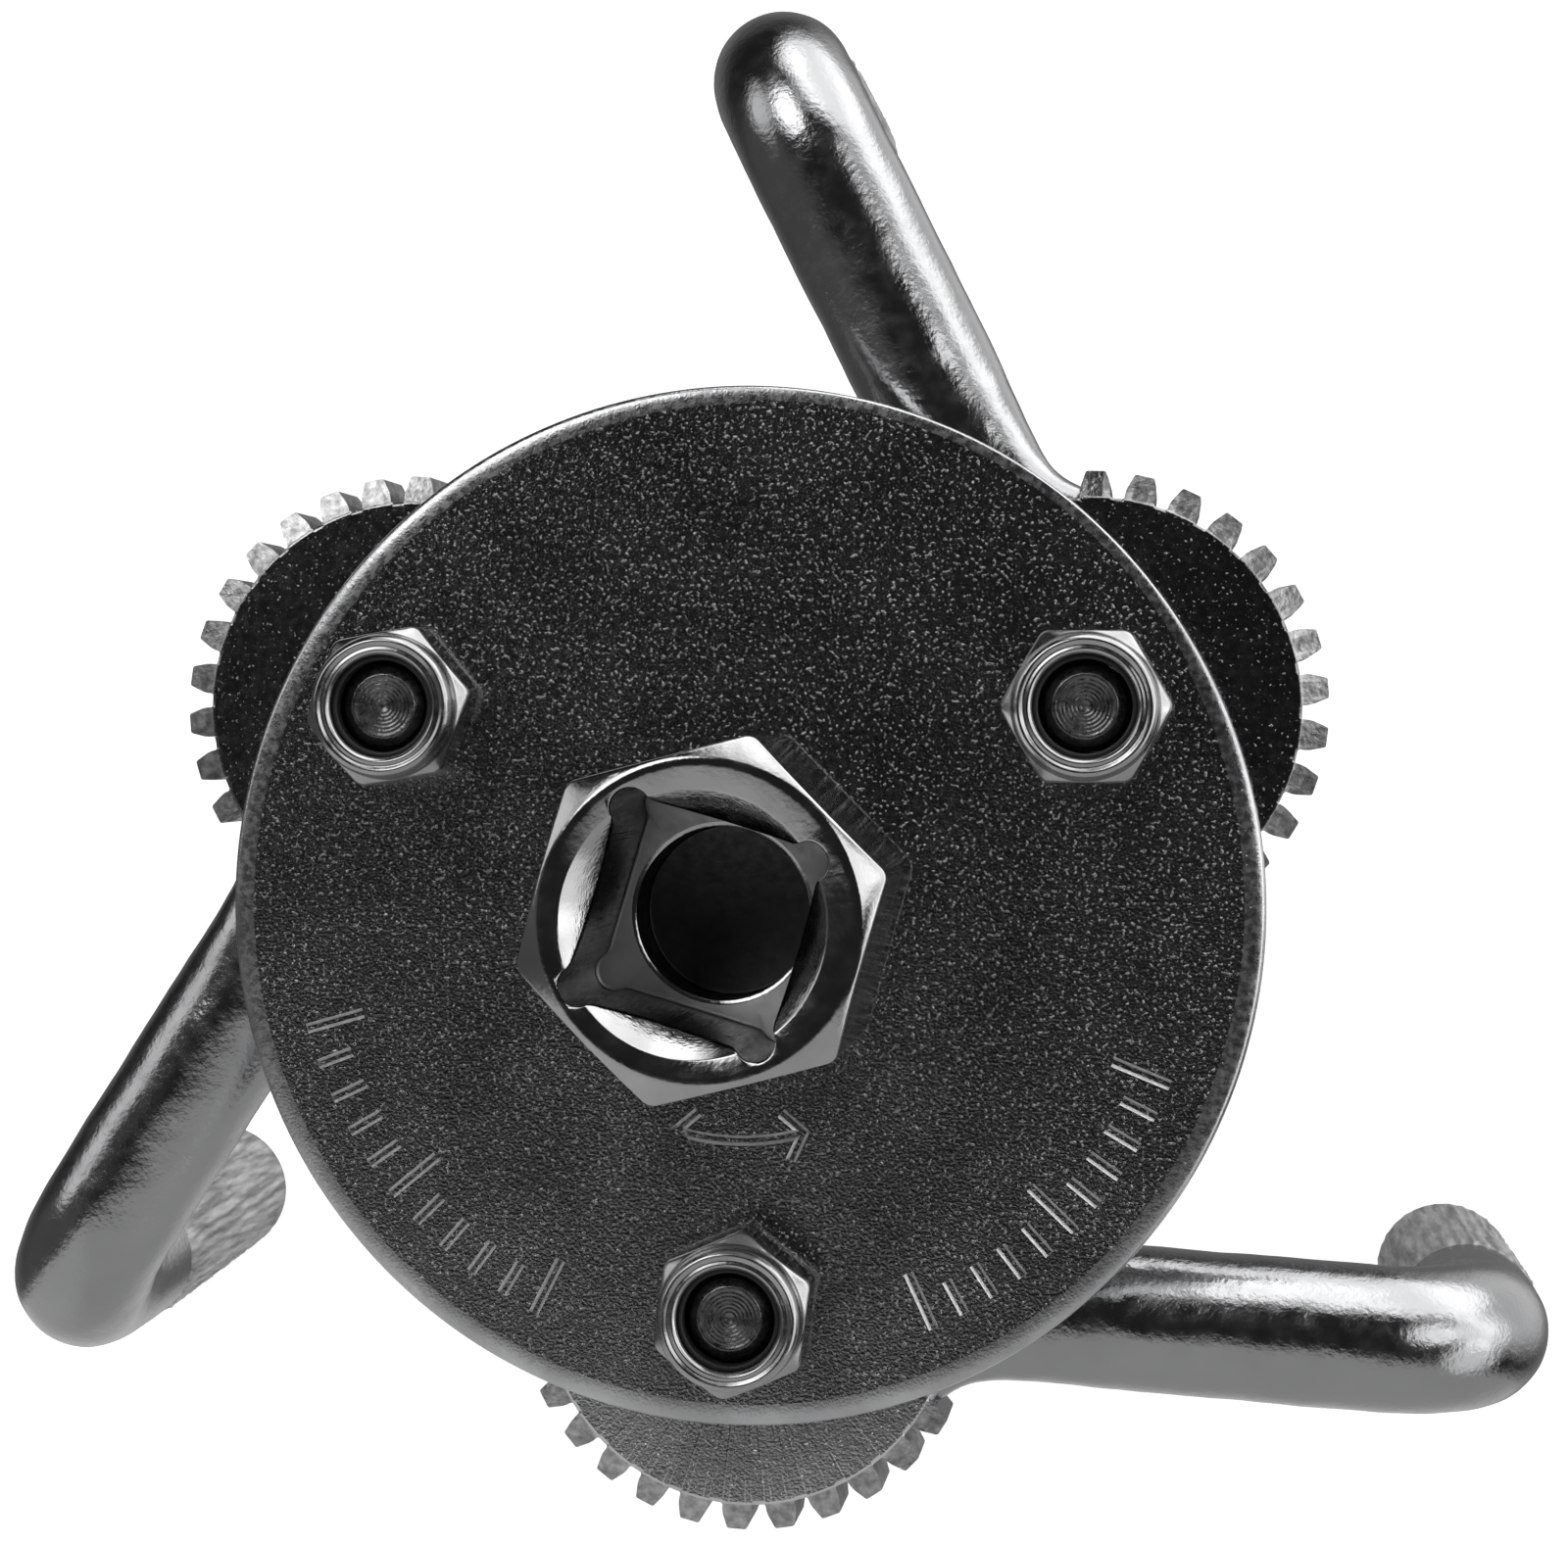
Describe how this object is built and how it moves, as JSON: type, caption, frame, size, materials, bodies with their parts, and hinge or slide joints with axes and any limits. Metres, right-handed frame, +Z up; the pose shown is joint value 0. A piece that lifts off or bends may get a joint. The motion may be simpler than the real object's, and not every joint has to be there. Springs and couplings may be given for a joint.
{
  "type": "oil filter wrench",
  "caption": "Round plate with a hexagon and square drive whose sun gear swings cranked legs with knurled feet on to an oil filter, gripping it in either direction.",
  "frame": {"origin": "centre of the drive spindle's lower end face, the flat that meets the filter's end", "axes": "+Z up the spindle towards the drive; the leg pivots stand at 30, 150 and 270 degrees from +X about +Z"},
  "size_m": [0.1109, 0.1062, 0.0641],
  "materials": {
    "plate_steel": "dark nickel-plated blanked plate with a fine bright grain and a rounded lighter rim",
    "drive_chrome": "polished chrome plate",
    "leg_nickel": "dark nickel plate over forged bar, faintly rippled; the knurled feet are duller",
    "gear_steel": "machined steel, lightly oiled",
    "zinc_steel": "bright zinc plate",
    "bolt_steel": "dark steel, end face turned with fine rings",
    "spring_steel": "blackened spring steel",
    "nylon": "black nylon, matt"
  },
  "bodies": {
    "plate": {"top_plate": "plate_steel", "pivot_bolt_1": "bolt_steel", "lock_nut_1": "zinc_steel", "nylon_insert_1": "nylon", "pivot_bolt_2": "bolt_steel", "lock_nut_2": "zinc_steel", "nylon_insert_2": "nylon", "pivot_bolt_3": "bolt_steel", "lock_nut_3": "zinc_steel", "nylon_insert_3": "nylon"},
    "drive": {"drive_spindle": "drive_chrome", "sun_gear": "gear_steel", "spindle_washer": "zinc_steel", "retaining_ring": "spring_steel"},
    "first_leg": {"leg_1": "leg_nickel"},
    "second_leg": {"leg_2": "leg_nickel"},
    "third_leg": {"leg_3": "leg_nickel"}
  },
  "joints": [
    {"name": "drive_turn", "type": "hinge", "parent": "plate", "child": "drive", "pos_m": [0, 0, 0.0125], "axis": [0, 0, 1], "range_deg": [-44, 260]},
    {"name": "first_leg_swing", "type": "hinge", "parent": "plate", "child": "first_leg", "pos_m": [0.02338, 0.0135, 0.0078], "axis": [0, 0, 1], "range_deg": [-208, 35.2]},
    {"name": "second_leg_swing", "type": "hinge", "parent": "plate", "child": "second_leg", "pos_m": [-0.02338, 0.0135, 0.0078], "axis": [0, 0, 1], "range_deg": [-208, 35.2]},
    {"name": "third_leg_swing", "type": "hinge", "parent": "plate", "child": "third_leg", "pos_m": [0, -0.027, 0.0078], "axis": [0, 0, 1], "range_deg": [-208, 35.2]}
  ],
  "couplings": [
    {"joint": "first_leg_swing", "follows": "drive_turn", "ratio": -0.8},
    {"joint": "second_leg_swing", "follows": "drive_turn", "ratio": -0.8},
    {"joint": "third_leg_swing", "follows": "drive_turn", "ratio": -0.8}
  ]
}
